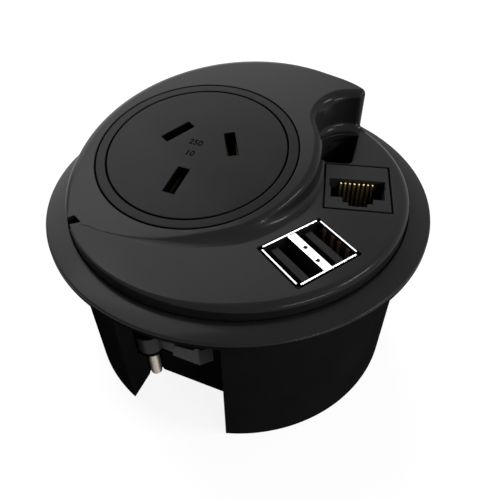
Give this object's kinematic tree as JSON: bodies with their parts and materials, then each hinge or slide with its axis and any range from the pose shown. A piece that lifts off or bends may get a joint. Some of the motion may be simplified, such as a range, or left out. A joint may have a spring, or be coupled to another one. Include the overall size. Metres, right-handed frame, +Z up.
{
  "type": "in-desk power module",
  "caption": "Round module for a desk cut-out, with a tilted three-slot mains socket, stacked USB sockets, a data jack, a cable opening and screw-driven swing-out clamps.",
  "frame": {"origin": "centre of the round flange, in the plane of its underside, which lies on the desk's top face", "axes": "+Z up out of the desk; -Y from the centre through the earth slot's side and the front clamp channel"},
  "size_m": [0.087, 0.087, 0.0563],
  "materials": {
    "black_plastic": "satin moulded",
    "socket_plastic": "satin moulded",
    "inner_plastic": "plain moulded",
    "tongue_plastic": "plain moulded",
    "jack_plastic": "plain moulded",
    "plated_shell": "bright nickel",
    "gold_contact": "gold flash",
    "brass_contact": "plain brass",
    "zinc_screw": "zinc plated",
    "steel_clip": "plain",
    "claw_metal": "die cast, dull",
    "bush_metal": "die cast",
    "board_laminate": "solder mask",
    "ferrite": "dark ferrite with tape",
    "can_metal": "can",
    "terminal_plastic": "plain moulded",
    "nylon": "nylon"
  },
  "bodies": {
    "housing": {"flange_sleeve": "black_plastic", "top_fascia": "black_plastic", "socket_face": "socket_plastic", "socket_trim_ring": "socket_plastic", "socket_body": "inner_plastic", "active_contact": "brass_contact", "neutral_contact": "brass_contact", "earth_contact": "brass_contact", "socket_terminal_screws": "steel_clip", "socket_fixing_screws": "steel_clip", "usb_shell": "plated_shell", "usb_divider": "plated_shell", "usb_insulator": "inner_plastic", "usb_tongues": "tongue_plastic", "usb_contacts": "gold_contact", "charger_board": "board_laminate", "board_screws": "steel_clip", "transformer": "ferrite", "capacitors": "can_metal", "charger_chip": "inner_plastic", "jack_body": "jack_plastic", "jack_contacts": "gold_contact", "jack_rear_cap": "inner_plastic", "cable_duct": "inner_plastic", "base_cover": "black_plastic", "housing_screws": "steel_clip", "mains_gland": "nylon", "gland_lock_nut": "nylon", "mains_terminal_block": "terminal_plastic", "terminal_block_screws": "steel_clip"},
    "front_screw": {"front_clamp_screw": "zinc_screw", "front_screw_clip": "steel_clip"},
    "front_bush": {"front_clamp_bush": "bush_metal"},
    "front_claw": {"front_clamp_claw": "claw_metal"},
    "rear_screw": {"rear_clamp_screw": "zinc_screw", "rear_screw_clip": "steel_clip"},
    "rear_bush": {"rear_clamp_bush": "bush_metal"},
    "rear_claw": {"rear_clamp_claw": "claw_metal"}
  },
  "joints": [
    {"name": "front_bush_climb", "type": "slide", "parent": "housing", "child": "front_bush", "axis": [0, 0, 1], "range_m": [0, 0.016]},
    {"name": "front_screw_turn", "type": "hinge", "parent": "housing", "child": "front_screw", "pos_m": [-0.0108, -0.0292, -0.02], "axis": [0, 0, 1], "range_deg": [-11521, 0]},
    {"name": "front_claw_swing", "type": "hinge", "parent": "front_bush", "child": "front_claw", "pos_m": [-0.0108, -0.0292, -0.02], "axis": [0, 0, 1], "range_deg": [-90, 0]},
    {"name": "rear_bush_climb", "type": "slide", "parent": "housing", "child": "rear_bush", "axis": [0, 0, 1], "range_m": [0, 0.016]},
    {"name": "rear_screw_turn", "type": "hinge", "parent": "housing", "child": "rear_screw", "pos_m": [0.0108, 0.0292, -0.02], "axis": [0, 0, 1], "range_deg": [-11521, 0]},
    {"name": "rear_claw_swing", "type": "hinge", "parent": "rear_bush", "child": "rear_claw", "pos_m": [0.0108, 0.0292, -0.02], "axis": [0, 0, 1], "range_deg": [-90, 0]}
  ],
  "couplings": [
    {"joint": "front_screw_turn", "follows": "front_bush_climb", "rad_per_m": -12566},
    {"joint": "rear_screw_turn", "follows": "rear_bush_climb", "rad_per_m": -12566}
  ]
}
